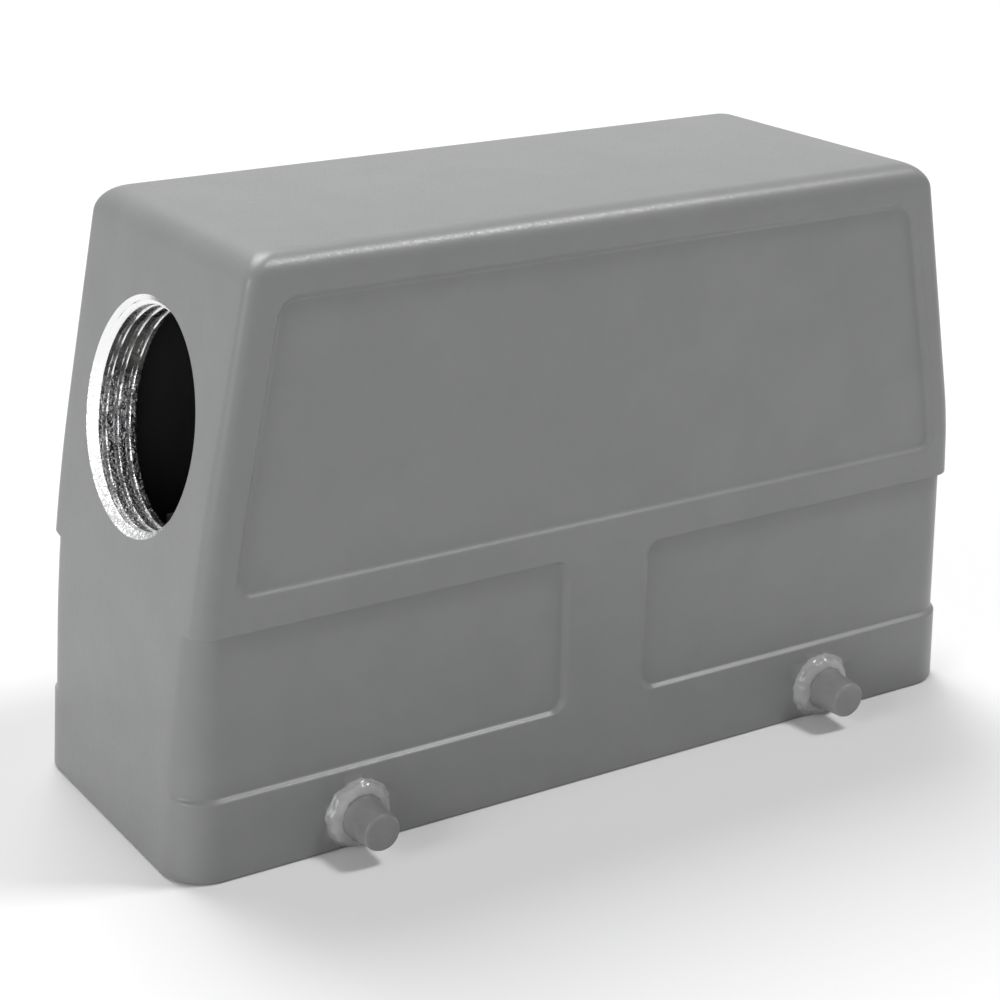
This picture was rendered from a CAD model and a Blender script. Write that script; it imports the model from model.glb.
"""Looks of the heavy duty connector hood and its contact insert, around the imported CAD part."""
import math

import bpy
import numpy as np
from mathutils import Matrix, Vector, noise


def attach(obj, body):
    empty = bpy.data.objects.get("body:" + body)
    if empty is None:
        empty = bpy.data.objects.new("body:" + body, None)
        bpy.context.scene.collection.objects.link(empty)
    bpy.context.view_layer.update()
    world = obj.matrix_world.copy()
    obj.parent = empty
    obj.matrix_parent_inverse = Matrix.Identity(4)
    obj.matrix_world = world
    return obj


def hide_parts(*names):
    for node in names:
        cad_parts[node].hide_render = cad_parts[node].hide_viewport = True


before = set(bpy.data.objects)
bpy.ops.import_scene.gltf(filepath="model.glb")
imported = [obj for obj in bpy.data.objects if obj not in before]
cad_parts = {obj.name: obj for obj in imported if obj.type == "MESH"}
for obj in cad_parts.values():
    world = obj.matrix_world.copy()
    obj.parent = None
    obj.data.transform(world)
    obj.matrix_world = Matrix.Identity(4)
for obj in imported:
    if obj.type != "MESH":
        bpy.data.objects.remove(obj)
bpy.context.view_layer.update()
MM = 0.001

# ---------------------------------------------------------------- sizes of the casting, mm
HOOD_L, HOOD_W, HOOD_H = 121.0, 43.0, 75.5
ROOF_IN, END_LEAN = 11.3, math.radians(5.0)
ENTRY_BEND, FAR_BEND = (34.0, 16.0), (40.0, 4.0)        # height of the bend, half its height
WALL = 3.2
RIM_R, LEDGE_R, ROOF_R, ROOF_EDGE = 5.6, 2.4, 1.4, 3.2
UNDER_LEDGE_R = 3.4                                     # corner radius just under the ledge
RIM_EDGE = 0.45                                         # broken edge of the rim
PANEL_D, PANEL_BEVEL, PANEL_R = 0.7, 1.0, 2.6
PANEL_TOP, PANEL_BOTTOM = 71.0, 35.5
ENTRY_MARGIN, FAR_MARGIN = 4.1, 3.3                     # from the end faces to the upper panel
LEDGE_Z, LEDGE_BEVEL = 31.7, 0.3
STEP_Z, STEP_BEVEL = 10.5, 0.6
COLUMN_W = 11.2
ENTRY_R, ENTRY_Z, ENTRY_DEPTH, ENTRY_CHAMFER = 14.15, 52.0, 6.4, 0.5
THREAD_PITCH, THREAD_DEPTH = 1.588, 0.62
PEG_X, PEG_Z, PEG_LEN = 36.5, 4.5, 6.2
FIX_X, FIX_Y, FIX_HOLE_R, POST_R, POST_Z, POST_LEN = 52.0, 13.5, 2.05, 4.0, 16.2, 17.0
HOLE_TOP = 28.0
HALF_W = HOOD_W/2
ROOF_X = HOOD_L/2 - ROOF_IN
INNER_R = 0.8                                           # least corner radius of the inside


# ---------------------------------------------------------------- form of the casting
def foot_x(bend):
    return HOOD_L/2 - math.tan(END_LEAN)*bend[0]


def upper_slope(bend):
    return (foot_x(bend) - ROOF_X)/(HOOD_H - bend[0])


def end_x(z, bend):
    """Distance of an end face from the middle at height z."""
    u, h = z - bend[0], bend[1]
    bent = np.where(u >= h, u, np.where(u <= -h, 0.0, (u + h)**2/(4*h)))
    return foot_x(bend) - math.tan(END_LEAN)*u - (upper_slope(bend) - math.tan(END_LEAN))*bent


def entry_x(z):
    return end_x(z, ENTRY_BEND)


def far_x(z):
    return end_x(z, FAR_BEND)


def smooth(t):
    t = np.clip(t, 0.0, 1.0)
    return t*t*(3 - 2*t)


def corner_r(z):
    low = RIM_R + (LEDGE_R - RIM_R)*z/LEDGE_Z
    high = LEDGE_R + (ROOF_R - LEDGE_R)*(z - LEDGE_Z)/(HOOD_H - LEDGE_Z)
    return np.where(z < LEDGE_Z, low, high)


def outer_r(z):
    """Corner radius of the finished casting, a little rounder under the ledge."""
    low = RIM_R + (UNDER_LEDGE_R - RIM_R)*z/LEDGE_Z
    high = LEDGE_R + (ROOF_R - LEDGE_R)*(z - LEDGE_Z)/(HOOD_H - LEDGE_Z)
    t = smooth((z - (LEDGE_Z - LEDGE_BEVEL - 0.15))/(LEDGE_BEVEL + 0.3))
    return low*(1 - t) + high*t


def sunk(edges, bevels, radius):
    """How deep a panel lies, from the distances to its edges; its corners are rounded."""
    near = [np.maximum(radius - e, 0.0) for e in edges]
    total = np.sqrt(sum(n*n for n in near)) + 1e-9
    inside = radius - total
    bevel = sum(n*n*b for n, b in zip(near, bevels))/(total*total)
    bevel = np.where(total < 1e-6, bevels[0], np.maximum(bevel, 0.05))
    return PANEL_D*smooth(inside/bevel)


def upper_panel(x, z):
    return sunk([(x + entry_x(z) - ENTRY_MARGIN)*0.985, (far_x(z) - FAR_MARGIN - x)*0.985,
                 z - PANEL_BOTTOM, PANEL_TOP - z], [PANEL_BEVEL]*4, PANEL_R)


def lower_panels(x, z):
    return sunk([np.abs(x) - COLUMN_W/2, z - STEP_Z, LEDGE_Z - z],
                [PANEL_BEVEL, STEP_BEVEL, LEDGE_BEVEL], PANEL_R)


# ---------------------------------------------------------------- mesh helpers
def new_object(name, verts, faces):
    mesh = bpy.data.meshes.new(name)
    mesh.from_pydata([tuple(v) for v in np.asarray(verts)*MM], [], faces)
    mesh.validate()
    obj = bpy.data.objects.new(name, mesh)
    bpy.context.scene.collection.objects.link(obj)
    return obj


def tube_faces(rows, cols):
    """Quads between consecutive rings, seen from outside when the rings turn left going up."""
    return [(j*cols + i, j*cols + (i + 1) % cols, (j + 1)*cols + (i + 1) % cols, (j + 1)*cols + i)
            for j in range(rows - 1) for i in range(cols)]


def skin(name, rings):
    """Closed solid over a stack of rings, with a flat cap at both ends."""
    rings = [np.asarray(r, float) for r in rings]
    n, m = len(rings[0]), len(rings)
    faces = tube_faces(m, n)
    faces.append(tuple(range(n - 1, -1, -1)))
    faces.append(tuple((m - 1)*n + i for i in range(n)))
    return new_object(name, np.concatenate(rings), faces)


def combine(target, tools, operation):
    """Solid boolean; the tools are used up. New faces keep the tools' materials."""
    for tool in tools:
        mod = target.modifiers.new("cut", "BOOLEAN")
        mod.operation = operation
        mod.solver = "MANIFOLD"
        mod.object = tool
        if hasattr(mod, "material_mode"):
            mod.material_mode = "TRANSFER"
    graph = bpy.context.evaluated_depsgraph_get()
    mesh = bpy.data.meshes.new_from_object(target.evaluated_get(graph), depsgraph=graph)
    target.modifiers.clear()
    old = target.data
    target.data = mesh
    bpy.data.meshes.remove(old)
    for tool in tools:
        bpy.data.objects.remove(tool)
    return target


def spread(a, b, step):
    """Even places from a up to b, without b, about step apart."""
    n = max(1, int(round((b - a)/step)))
    return list(a + (b - a)*np.arange(n)/n)


# ---------------------------------------------------------------- materials
def material(name):
    mat = bpy.data.materials.new(name)
    mat.use_nodes = True
    nodes, links = mat.node_tree.nodes, mat.node_tree.links
    shader = nodes["Principled BSDF"]
    return mat, nodes, links, shader


def node(nodes, kind, **inputs):
    n = nodes.new(kind)
    for k, v in inputs.items():
        n.inputs[k.replace("_", " ")].default_value = v
    return n


def ramp(nodes, stops):
    """Colour ramp from (place, grey or colour) pairs."""
    r = nodes.new("ShaderNodeValToRGB")
    elements = r.color_ramp.elements

    def paint(element, tone):
        element.color = (*tone, 1) if isinstance(tone, tuple) else (tone, tone, tone, 1)

    for i, (at, tone) in enumerate((stops[0], stops[-1])):
        elements[i].position = at
        paint(elements[i], tone)
    for at, tone in stops[1:-1]:            # last, because a new stop moves those after it
        paint(elements.new(at), tone)
    return r


def math_node(nodes, links, op, a, b):
    n = nodes.new("ShaderNodeMath")
    n.operation = op
    for i, v in enumerate((a, b)):
        if isinstance(v, (int, float)):
            n.inputs[i].default_value = v
        else:
            links.new(v, n.inputs[i])
    return n.outputs[0]


def mottled(name, dark, light, roughness, metallic, scale, bump, distance, fine):
    """Base colour between two tones, roughness and bump, all from one noise and a finer one."""
    mat, nodes, links, shader = material(name)
    coord = nodes.new("ShaderNodeTexCoord")
    broad = node(nodes, "ShaderNodeTexNoise", Scale=scale, Detail=4.0, Roughness=0.55)
    grain = node(nodes, "ShaderNodeTexNoise", Scale=fine, Detail=3.0, Roughness=0.5)
    tone = ramp(nodes, [(0.3, dark), (0.7, light)])
    rough = ramp(nodes, [(0.3, roughness*0.85), (0.7, min(1.0, roughness*1.15))])
    bumper = node(nodes, "ShaderNodeBump", Strength=bump, Distance=distance)
    for n in (broad, grain):
        links.new(coord.outputs["Object"], n.inputs["Vector"])
    links.new(broad.outputs["Fac"], tone.inputs["Fac"])
    links.new(grain.outputs["Fac"], rough.inputs["Fac"])
    links.new(grain.outputs["Fac"], bumper.inputs["Height"])
    links.new(tone.outputs["Color"], shader.inputs["Base Color"])
    links.new(rough.outputs["Color"], shader.inputs["Roughness"])
    links.new(bumper.outputs["Normal"], shader.inputs["Normal"])
    shader.inputs["Metallic"].default_value = metallic
    shader.inputs["Specular IOR Level"].default_value = 0.5
    return mat


COAT_TONES = ((0.212, 0.214, 0.215), (0.226, 0.228, 0.229))


def powder_coat(name, tones=COAT_TONES, roughness=0.36, peel=1.0):
    """Semi-matt grey powder coat with fine orange peel and a slow waviness."""
    mat, nodes, links, shader = material(name)
    coord = nodes.new("ShaderNodeTexCoord")
    wave = node(nodes, "ShaderNodeTexNoise", Scale=55.0, Detail=2.0, Roughness=0.5)
    orange = node(nodes, "ShaderNodeTexNoise", Scale=900.0, Detail=2.0, Roughness=0.45)
    grit = node(nodes, "ShaderNodeTexNoise", Scale=3600.0, Detail=2.0, Roughness=0.5)
    tone_noise = node(nodes, "ShaderNodeTexNoise", Scale=120.0, Detail=5.0, Roughness=0.6)
    for n in (wave, orange, grit, tone_noise):
        links.new(coord.outputs["Object"], n.inputs["Vector"])
    tone = ramp(nodes, [(0.35, tones[0]), (0.65, tones[1])])
    rough = ramp(nodes, [(0.3, roughness - 0.05), (0.7, roughness + 0.06)])
    links.new(tone_noise.outputs["Fac"], tone.inputs["Fac"])
    links.new(grit.outputs["Fac"], rough.inputs["Fac"])
    peel_bump = node(nodes, "ShaderNodeBump", Strength=0.35*peel, Distance=0.00006)
    grit_bump = node(nodes, "ShaderNodeBump", Strength=0.30*peel, Distance=0.00002)
    wave_bump = node(nodes, "ShaderNodeBump", Strength=0.5*peel, Distance=0.0003)
    links.new(wave.outputs["Fac"], wave_bump.inputs["Height"])
    links.new(orange.outputs["Fac"], peel_bump.inputs["Height"])
    links.new(grit.outputs["Fac"], grit_bump.inputs["Height"])
    links.new(wave_bump.outputs["Normal"], peel_bump.inputs["Normal"])
    links.new(peel_bump.outputs["Normal"], grit_bump.inputs["Normal"])
    links.new(tone.outputs["Color"], shader.inputs["Base Color"])
    links.new(rough.outputs["Color"], shader.inputs["Roughness"])
    links.new(grit_bump.outputs["Normal"], shader.inputs["Normal"])
    shader.inputs["Specular IOR Level"].default_value = 0.5
    return mat


# the entry's own axes: out of the end face, and up along it
TILT = math.atan(upper_slope(ENTRY_BEND))
ENTRY_OUT = np.array([-math.cos(TILT), 0.0, math.sin(TILT)])
ENTRY_UP = np.array([math.sin(TILT), 0.0, math.cos(TILT)])
ENTRY_SIDE = np.array([0.0, 1.0, 0.0])
ENTRY_AT = np.array([-float(entry_x(ENTRY_Z)), 0.0, ENTRY_Z])


def machined(name):
    """Bare cut aluminium in the entry, with chatter marks across the thread's crests."""
    mat, nodes, links, shader = material(name)
    coord = nodes.new("ShaderNodeTexCoord")
    mapping = nodes.new("ShaderNodeMapping")
    mapping.vector_type = "TEXTURE"
    mapping.inputs["Location"].default_value = tuple(ENTRY_AT*MM)
    mapping.inputs["Rotation"].default_value = (0.0, TILT - math.pi/2, 0.0)
    links.new(coord.outputs["Object"], mapping.inputs["Vector"])
    split = nodes.new("ShaderNodeSeparateXYZ")
    links.new(mapping.outputs["Vector"], split.inputs["Vector"])
    up, side = split.outputs["X"], split.outputs["Y"]
    angle = math_node(nodes, links, "ARCTAN2", side, up)
    turn = nodes.new("ShaderNodeCombineXYZ")
    links.new(angle, turn.inputs["X"])
    depth = math_node(nodes, links, "MULTIPLY", split.outputs["Z"], 55.0)
    links.new(depth, turn.inputs["Y"])
    chatter = node(nodes, "ShaderNodeTexNoise", Scale=16.0, Detail=3.0, Roughness=0.75)
    links.new(turn.outputs["Vector"], chatter.inputs["Vector"])
    sharp = ramp(nodes, [(0.38, 0.0), (0.62, 1.0)])
    links.new(chatter.outputs["Fac"], sharp.inputs["Fac"])
    # the marks fade out in the upper part of the bore
    mask = ramp(nodes, [(0.0, 1.0), (0.52, 1.0), (0.60, 0.0)])
    level = math_node(nodes, links, "ADD", math_node(nodes, links, "MULTIPLY", up, 1000/30.0), 0.5)
    links.new(level, mask.inputs["Fac"])
    marks = math_node(nodes, links, "MULTIPLY", sharp.outputs["Color"], mask.outputs["Color"])
    bumper = node(nodes, "ShaderNodeBump", Strength=0.9, Distance=0.00010)
    links.new(marks, bumper.inputs["Height"])
    fine = node(nodes, "ShaderNodeTexNoise", Scale=1500.0, Detail=2.0)
    links.new(coord.outputs["Object"], fine.inputs["Vector"])
    rough = ramp(nodes, [(0.3, 0.2), (0.7, 0.32)])
    links.new(fine.outputs["Fac"], rough.inputs["Fac"])
    tone = ramp(nodes, [(0.0, (0.88, 0.88, 0.885)), (1.0, (0.72, 0.72, 0.73))])
    links.new(marks, tone.inputs["Fac"])
    links.new(tone.outputs["Color"], shader.inputs["Base Color"])
    links.new(rough.outputs["Color"], shader.inputs["Roughness"])
    links.new(bumper.outputs["Normal"], shader.inputs["Normal"])
    shader.inputs["Metallic"].default_value = 1.0
    return mat


coat = powder_coat("powder_coat_grey")
inner_coat = powder_coat("powder_coat_inside", roughness=0.6,
                         tones=((0.03, 0.03, 0.031), (0.036, 0.036, 0.037)))
bare = machined("machined_thread")
collar_coat = powder_coat("collar_gloss", roughness=0.22, peel=1.6,
                          tones=((0.30, 0.30, 0.305), (0.42, 0.42, 0.425)))
pin_coat = powder_coat("peg_coat", roughness=0.4, peel=1.5,
                       tones=((0.20, 0.20, 0.205), (0.27, 0.27, 0.275)))
SLOTS = [coat, inner_coat, bare, collar_coat, pin_coat]
COAT, INNER, BARE, COLLAR_COAT, PIN_COAT = range(len(SLOTS))


def dress(obj, index):
    """Gives obj all the casting's slots, so that booleans keep the right one on each face."""
    obj.data.materials.clear()
    for m in SLOTS:
        obj.data.materials.append(m)
    obj.data.polygons.foreach_set("material_index", [index]*len(obj.data.polygons))
    return obj


# ---------------------------------------------------------------- outside of the casting
def rounded_level(z, inset, r, side_x, end_n, arc_n, hw, y_of=None):
    """Level ring, turning left seen from above, from the near long side at the entry end."""
    x0, x1 = -float(entry_x(z)) + inset, float(far_x(z)) - inset
    ys = hw - inset
    pts = []
    arc = np.radians(np.linspace(0, 90, arc_n + 1))[1:-1]
    for x in side_x:
        pts.append((x, -(ys - (y_of(x) if y_of else 0.0))))
    pts += [(x1 - r + r*math.sin(a), -ys + r - r*math.cos(a)) for a in arc]
    pts += [(x1, y) for y in np.linspace(-ys + r, ys - r, end_n + 1)]
    pts += [(x1 - r + r*math.cos(a), ys - r + r*math.sin(a)) for a in arc]
    for x in side_x[::-1]:
        pts.append((x, ys - (y_of(x) if y_of else 0.0)))
    pts += [(x0 + r - r*math.sin(a), ys - r + r*math.cos(a)) for a in arc]
    pts += [(x0, y) for y in np.linspace(ys - r, -ys + r, end_n + 1)]
    pts += [(x0 + r - r*math.cos(a), -ys + r - r*math.sin(a)) for a in arc]
    return [(x, y, z) for x, y in pts]


FINE = 0.2                                              # mesh step over a bevel
ENTRY_FINE, FAR_FINE = (3.7, 8.1), (2.9, 7.3)           # fine strips at the ends of the upper panel
COLUMN_FINE = (COLUMN_W/2 - 0.4, COLUMN_W/2 + 3.8)      # fine strip at each edge of the column
BETWEEN = np.arange(1, 16)/16                           # coarse lines from one strip to the next
left_d = spread(LEDGE_R, ENTRY_FINE[0], 0.33) + spread(*ENTRY_FINE, FINE) + [ENTRY_FINE[1]]
right_d = spread(LEDGE_R, FAR_FINE[0], 0.25) + spread(*FAR_FINE, FINE) + [FAR_FINE[1]]
half_col = spread(*COLUMN_FINE, FINE) + [COLUMN_FINE[1]]


def side_columns(z, r):
    """Places of the mesh lines along a long side at height z. They follow the panels' edges."""
    w = float(smooth((z - 30.0)/4.0))                   # 0 under the ledge, 1 above it

    def ends(d, fixed):
        d = np.array(d)
        last = d[-1]
        loose = r + (last - r)*(d - LEDGE_R)/(last - LEDGE_R)
        tight = np.where(d >= fixed, d, r + (fixed - r)*(d - LEDGE_R)/(fixed - LEDGE_R))
        return loose*(1 - w) + tight*w
    left = -float(entry_x(z)) + ends(left_d, ENTRY_FINE[0])
    right = (float(far_x(z)) - ends(right_d, FAR_FINE[0]))[::-1]
    col = half_col[-1]
    mid_l = list(left[-1] + (-col - left[-1])*BETWEEN)
    mid_r = list(col + (right[0] - col)*BETWEEN)
    inner = list(np.linspace(-half_col[0], half_col[0], 8))[1:-1]
    return np.array(list(left) + mid_l + [-c for c in half_col[::-1]] + inner + half_col + mid_r
                    + list(right))


rows = []
for a in np.radians([0, 30, 60, 90]):
    rows.append((RIM_EDGE*(1 - math.cos(a)), RIM_EDGE*(1 - math.sin(a))))
side_top = HOOD_H - ROOF_EDGE
zs = (spread(RIM_EDGE + 0.9, STEP_Z - 0.4, 1.5) + spread(STEP_Z - 0.4, STEP_Z + STEP_BEVEL + 0.3, 0.1)
      + spread(STEP_Z + STEP_BEVEL + 0.3, STEP_Z + 3.6, FINE) + spread(STEP_Z + 3.6, LEDGE_Z - 3.4, 1.6)
      + spread(LEDGE_Z - 3.4, LEDGE_Z - LEDGE_BEVEL - 0.2, FINE)
      + spread(LEDGE_Z - LEDGE_BEVEL - 0.2, LEDGE_Z + 0.2, 0.06)
      + spread(LEDGE_Z + 0.2, PANEL_BOTTOM - 0.4, 0.8) + spread(PANEL_BOTTOM - 0.4, PANEL_BOTTOM + 4.0, FINE)
      + spread(PANEL_BOTTOM + 4.0, PANEL_TOP - 4.0, 1.4) + spread(PANEL_TOP - 4.0, PANEL_TOP + 0.4, FINE)
      + spread(PANEL_TOP + 0.4, side_top, 0.4) + [side_top])
rows += [(z, 0.0) for z in zs]
for k in range(1, 13):
    a = math.radians(90*k/12)
    rows.append((side_top + ROOF_EDGE*math.sin(a), ROOF_EDGE*(1 - math.cos(a))))

rings = []
for z, inset in rows:
    low = float(lower_panels(np.array(HOOD_L/2 - 0.5), np.array(z)))    # depth at the panels' ends
    r = float(outer_r(np.array(min(z, side_top))))
    xs = side_columns(z, r)
    if inset:
        x0, x1 = -float(entry_x(z)), float(far_x(z))
        xs = x0 + inset + r + (xs - xs[0])*((x1 - x0 - 2*inset - 2*r)/(xs[-1] - xs[0]))
    depth = upper_panel(xs, np.full_like(xs, z)) + lower_panels(xs, np.full_like(xs, z)) - low
    deep = dict(zip(xs.tolist(), depth.tolist()))
    rings.append(rounded_level(z, inset, r, xs.tolist(), 24, 10, HALF_W - low, lambda x: deep[x]))
outside = dress(skin("hood_outside", rings), COAT)

# ---------------------------------------------------------------- inside of the casting
rings = []
inner_top = HOOD_H - WALL
for z in np.linspace(-1.0, inner_top - ROOF_EDGE, 26):
    r = max(float(corner_r(np.array(z))) - WALL, INNER_R)
    x0, x1 = -float(entry_x(z)) + WALL + r, float(far_x(z)) - WALL - r
    rings.append(rounded_level(z, WALL, r, list(np.linspace(x0, x1, 12)), 4, 6, HALF_W))
for k in range(1, 7):
    a = math.radians(90*k/6)
    z, inset = inner_top - ROOF_EDGE + ROOF_EDGE*math.sin(a), WALL + ROOF_EDGE*(1 - math.cos(a))
    x0, x1 = -float(entry_x(z)) + inset + INNER_R, float(far_x(z)) - inset - INNER_R
    rings.append(rounded_level(z, inset, INNER_R, list(np.linspace(x0, x1, 12)), 4, 6, HALF_W))
cavity = dress(skin("hood_cavity", rings), INNER)


def rod(name, at, axis, profile, steps):
    """Solid of revolution; profile is (distance along the axis, radius) pairs."""
    axis = np.array(axis, float)
    u = np.array([0, 0, 1] if abs(axis[2]) < 0.9 else [1, 0, 0], float)
    u -= axis*u.dot(axis)
    u /= np.linalg.norm(u)
    v = np.cross(axis, u)
    t = 2*math.pi*np.arange(steps)/steps
    return skin(name, [np.array(at) + axis*s + r*(np.outer(np.cos(t), u) + np.outer(np.sin(t), v))
                       for s, r in profile])


def block(name, lo, hi):
    (x0, y0, z0), (x1, y1, z1) = lo, hi
    return skin(name, [[(x0, y0, z), (x1, y0, z), (x1, y1, z), (x0, y1, z)] for z in (z0, z1)])


# the thicker wall round the entry, and the posts with their seats for the insert
pad_lo, pad_hi = -ENTRY_R - WALL, HOOD_H
OUT = 30                                                # how far the posts run on into the walls
pad = skin("pad", [[ENTRY_AT + ENTRY_UP*a + ENTRY_SIDE*b + ENTRY_OUT*s
                    for a, b in ((pad_lo, -HALF_W), (pad_lo, HALF_W), (pad_hi, HALF_W), (pad_hi, -HALF_W))]
                   for s in (0.0, -ENTRY_DEPTH)])
tools = [pad]
for sx in (-1, 1):
    for sy in (-1, 1):
        x, y = sx*FIX_X, sy*FIX_Y
        tools.append(rod("post", (x, y, POST_Z), (0, 0, 1), [(0, POST_R), (POST_LEN, POST_R)], 48))
        xa, xb = sorted((x - sx*POST_R, x + sx*OUT))
        ya, yb = sorted((y, y + sy*OUT))
        tools.append(block("post_web", (xa, ya, POST_Z), (xb, yb, POST_Z + POST_LEN)))
        xa, xb = sorted((x, x + sx*OUT))
        ya, yb = sorted((y - sy*POST_R, y + sy*OUT))
        tools.append(block("post_web", (xa, ya, POST_Z), (xb, yb, POST_Z + POST_LEN)))
for t in tools:
    dress(t, INNER)
combine(cavity, tools, "DIFFERENCE")

# ---------------------------------------------------------------- thread of the cable entry
TURN_N, THREAD_STEP = 288, 0.085                        # mesh steps round a turn and along the bore
GROOVE_HALF, GROOVE_CURVE = 0.21, 0.9                   # half a groove's share of the pitch, and its form
INNER_BREAK = 0.35                                      # broken inner edge of the thread
crest_r = ENTRY_R - THREAD_DEPTH
steps = ([-3.0, -1.5, -0.6] + list(np.arange(-0.3, ENTRY_DEPTH + 0.15, THREAD_STEP))
         + [ENTRY_DEPTH + 1.2])
theta = 2*math.pi*np.arange(TURN_N)/TURN_N
rings = []
for s in steps:
    phase = (s/THREAD_PITCH - theta/(2*math.pi)) % 1.0
    groove = np.clip(1 - np.abs(phase - 0.5)/GROOVE_HALF, 0, 1)
    r = crest_r + THREAD_DEPTH*groove**GROOVE_CURVE
    r = np.maximum(r, ENTRY_R + ENTRY_CHAMFER - s)
    r = np.maximum(r, crest_r + INNER_BREAK - (ENTRY_DEPTH + 0.1 - s))
    rings.append(ENTRY_AT - ENTRY_OUT*s + r[:, None]*(np.outer(np.cos(theta), ENTRY_UP)
                                                      + np.outer(np.sin(theta), -ENTRY_SIDE)))
tap = dress(skin("tap", rings), BARE)
HOLE_Z = 15.0
holes = [dress(rod("hole", (sx*FIX_X, sy*FIX_Y, HOLE_Z), (0, 0, 1),
                   [(0, FIX_HOLE_R), (HOLE_TOP - HOLE_Z, FIX_HOLE_R)], 48), INNER)
         for sx in (-1, 1) for sy in (-1, 1)]
hood = combine(outside, [cavity, tap] + holes, "DIFFERENCE")

# ---------------------------------------------------------------- locking pegs with their collars
# (distance from the wall, radius) along the collar and along the pin
COLLAR = [(-1.2, 4.0), (0.0, 4.55), (0.12, 4.35), (0.35, 4.24), (0.7, 4.12), (1.0, 3.92), (1.25, 3.62),
          (1.42, 3.3), (1.5, 3.05)]
PIN = [(1.55, 2.86), (1.8, 2.78), (PEG_LEN*0.6, 2.6), (PEG_LEN - 0.55, 2.46), (PEG_LEN - 0.3, 2.44),
       (PEG_LEN - 0.12, 2.36), (PEG_LEN - 0.03, 2.2), (PEG_LEN, 2.05), (PEG_LEN, 1.2), (PEG_LEN, 0.3)]
PEG_STEPS = 96
pegs = []
for k, (sx, sy) in enumerate(((-1, -1), (1, -1), (1, 1), (-1, 1))):
    at = (sx*PEG_X, sy*HALF_W, PEG_Z)
    peg = dress(rod("peg", at, (0, sy, 0), COLLAR + PIN, PEG_STEPS), PIN_COAT)
    for p in peg.data.polygons:
        if max(p.vertices) < len(COLLAR)*PEG_STEPS:
            p.material_index = COLLAR_COAT
    for v in peg.data.vertices:             # the cast surface is uneven, most of all on the collar
        row = v.index//PEG_STEPS
        away = v.co - Vector(at)*MM
        away.y = 0
        if 0 < row < len(COLLAR):
            q = Vector((v.co.x*900, v.co.y*1400, v.co.z*900))
            v.co += away.normalized()*(noise.noise(q + Vector((k*7.3, 0, 0)))*0.00028
                                       + noise.noise(q*3.1)*0.0001)
        elif row > len(COLLAR) + 3:
            q = v.co*1600
            v.co += away.normalized()*noise.noise(q + Vector((0, k*5.1, 0)))*0.00004
    pegs.append(peg)
hood = combine(hood, pegs, "UNION")
hood.name = hood.data.name = "hood_casting"
hood.data.shade_smooth()
hood.data.set_sharp_from_angle(angle=math.radians(33))
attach(hood, "root")
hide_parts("hood")

# ---------------------------------------------------------------- insert, contacts, screws
plastic = mottled("insert_plastic", (0.60, 0.59, 0.54), (0.66, 0.65, 0.60), 0.48, 0.0,
                  90.0, 0.15, 0.00004, 2200.0)
silver = mottled("contact_silver", (0.78, 0.75, 0.68), (0.86, 0.84, 0.78), 0.24, 1.0,
                 160.0, 0.1, 0.00003, 2600.0)
zinc = mottled("plate_zinc", (0.60, 0.61, 0.62), (0.70, 0.71, 0.72), 0.34, 1.0,
               140.0, 0.2, 0.00003, 1800.0)
steel = mottled("screw_steel", (0.56, 0.57, 0.58), (0.66, 0.67, 0.68), 0.28, 1.0,
                180.0, 0.15, 0.00003, 2400.0)
for name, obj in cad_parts.items():
    mat = (plastic if name == "insert_body" else silver if name.startswith("contact_")
           else zinc if name.startswith("pe_bracket") else coat if name == "hood" else steel)
    obj.data.materials.clear()
    obj.data.materials.append(mat)

# ---------------------------------------------------------------- floor, light, camera
FLOOR = 1500                                            # half the floor's side, mm
floor = new_object("studio_floor", [(-FLOOR, -FLOOR, 0), (FLOOR, -FLOOR, 0), (FLOOR, FLOOR, 0),
                                    (-FLOOR, FLOOR, 0)], [(0, 1, 2, 3)])
mat, nodes, links, shader = material("floor_paper")
shader.inputs["Base Color"].default_value = (0.86, 0.86, 0.86, 1)
shader.inputs["Roughness"].default_value = 0.9
floor.data.materials.append(mat)


def area_light(name, at, to, size, power):
    """Square soft light, in metres and watts."""
    light = bpy.data.lights.new(name, "AREA")
    light.energy, light.size, light.shape = power, size, "SQUARE"
    obj = bpy.data.objects.new(name, light)
    obj.location = at
    obj.rotation_euler = (Vector(to) - Vector(at)).to_track_quat("-Z", "Y").to_euler()
    bpy.context.scene.collection.objects.link(obj)


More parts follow.
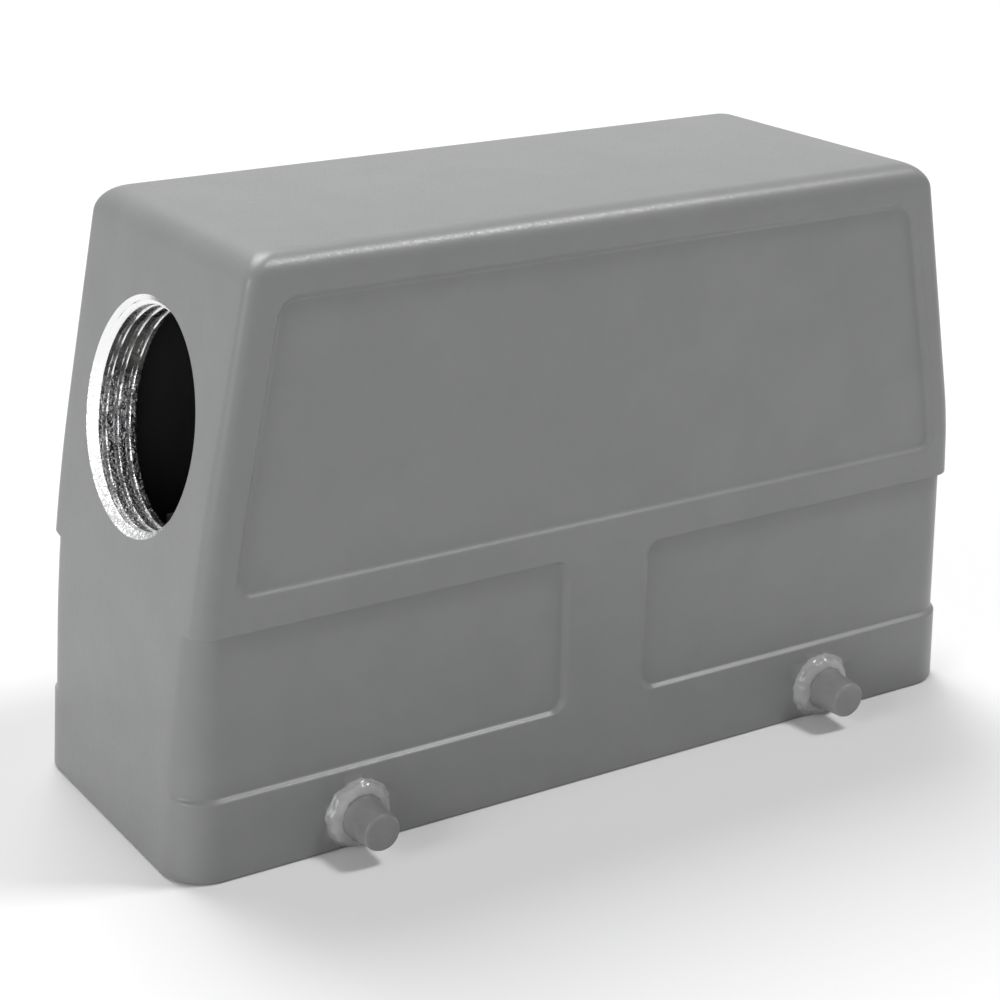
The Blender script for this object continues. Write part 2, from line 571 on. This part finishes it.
area_light("key", (0.70, -0.32, 1.28), (0, 0, 0.04), 0.3, 9.0)
area_light("top", (0.1, 0.85, 1.60), (0, 0, 0.04), 1.0, 23.0)
area_light("left", (-1.60, -0.30, 0.60), (-0.03, 0, 0.04), 0.9, 12.5)
area_light("front", (-1.0, -1.6, 0.45), (0, 0, 0.04), 0.8, 2.0)

world = bpy.data.worlds.new("studio")
bpy.context.scene.world = world
world.use_nodes = True
nodes, links = world.node_tree.nodes, world.node_tree.links
back = nodes["Background"]
path = nodes.new("ShaderNodeLightPath")
white = nodes.new("ShaderNodeBackground")
mixer = nodes.new("ShaderNodeMixShader")
back.inputs["Color"].default_value = (1, 1, 1, 1)
back.inputs["Strength"].default_value = 0.175
white.inputs["Strength"].default_value = 1.0
seen = math_node(nodes, links, "MAXIMUM", path.outputs["Is Camera Ray"],
                 math_node(nodes, links, "MAXIMUM", path.outputs["Is Glossy Ray"],
                           path.outputs["Is Transmission Ray"]))
links.new(seen, mixer.inputs[0])
links.new(back.outputs[0], mixer.inputs[1])
links.new(white.outputs[0], mixer.inputs[2])
links.new(mixer.outputs[0], nodes["World Output"].inputs["Surface"])

CAM_AT = (-0.15856, -0.23816, 0.13863)
CAM_AZ, CAM_EL, CAM_ROLL = -0.5476, 0.3802, 0.0074
toward = np.array([math.sin(CAM_AZ)*math.cos(CAM_EL), -math.cos(CAM_AZ)*math.cos(CAM_EL),
                   math.sin(CAM_EL)])
right = np.cross(-toward, [0, 0, 1])
right /= np.linalg.norm(right)
up = np.cross(right, -toward)
right, up = (right*math.cos(CAM_ROLL) + up*math.sin(CAM_ROLL),
             up*math.cos(CAM_ROLL) - right*math.sin(CAM_ROLL))
cam_data = bpy.data.cameras.new("camera")
cam_data.sensor_width = 36.0
cam_data.lens = 82.53
cam_data.shift_x, cam_data.shift_y = 0.070, 0.0489
cam_data.clip_start, cam_data.clip_end = 0.01, 20.0
cam = bpy.data.objects.new("camera", cam_data)
cam.matrix_world = Matrix([(right[i], up[i], toward[i], CAM_AT[i]) for i in range(3)] + [(0, 0, 0, 1)])
bpy.context.scene.collection.objects.link(cam)
bpy.context.scene.camera = cam
bpy.context.scene.view_settings.view_transform = "Standard"
